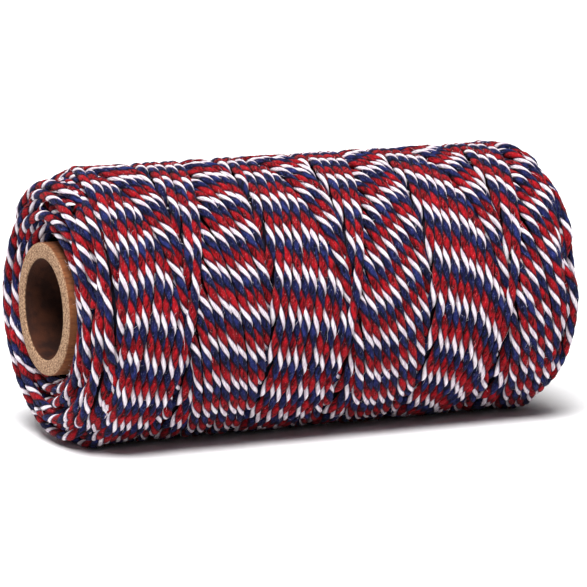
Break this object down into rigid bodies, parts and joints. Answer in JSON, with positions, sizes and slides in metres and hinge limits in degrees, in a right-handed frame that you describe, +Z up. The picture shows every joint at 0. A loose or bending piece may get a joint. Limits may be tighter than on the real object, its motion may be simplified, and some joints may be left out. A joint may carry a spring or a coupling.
{
  "type": "roll of twisted cotton twine on a cardboard tube",
  "caption": "Roll of red, white and navy twisted cotton twine, cross-wound on an open cardboard tube, lying on its side.",
  "frame": {"origin": "on the surface that the roll lies on, below the middle of the roll", "axes": "+X along the cardboard tube, +Z up, -Y towards the front of the roll"},
  "size_m": [0.1176, 0.06, 0.0595],
  "materials": {
    "kraft_board": "matt spiral-wound kraft board with a fibrous cut edge",
    "twine_red": "dyed cotton yarn, matt, one ply of the twine",
    "twine_white": "bleached cotton yarn, matt, one ply of the twine",
    "twine_navy": "dyed cotton yarn, matt, one ply of the twine"
  },
  "bodies": {
    "root": {"core_tube": "kraft_board", "wound_twine": "twine_red"}
  },
  "joints": []
}
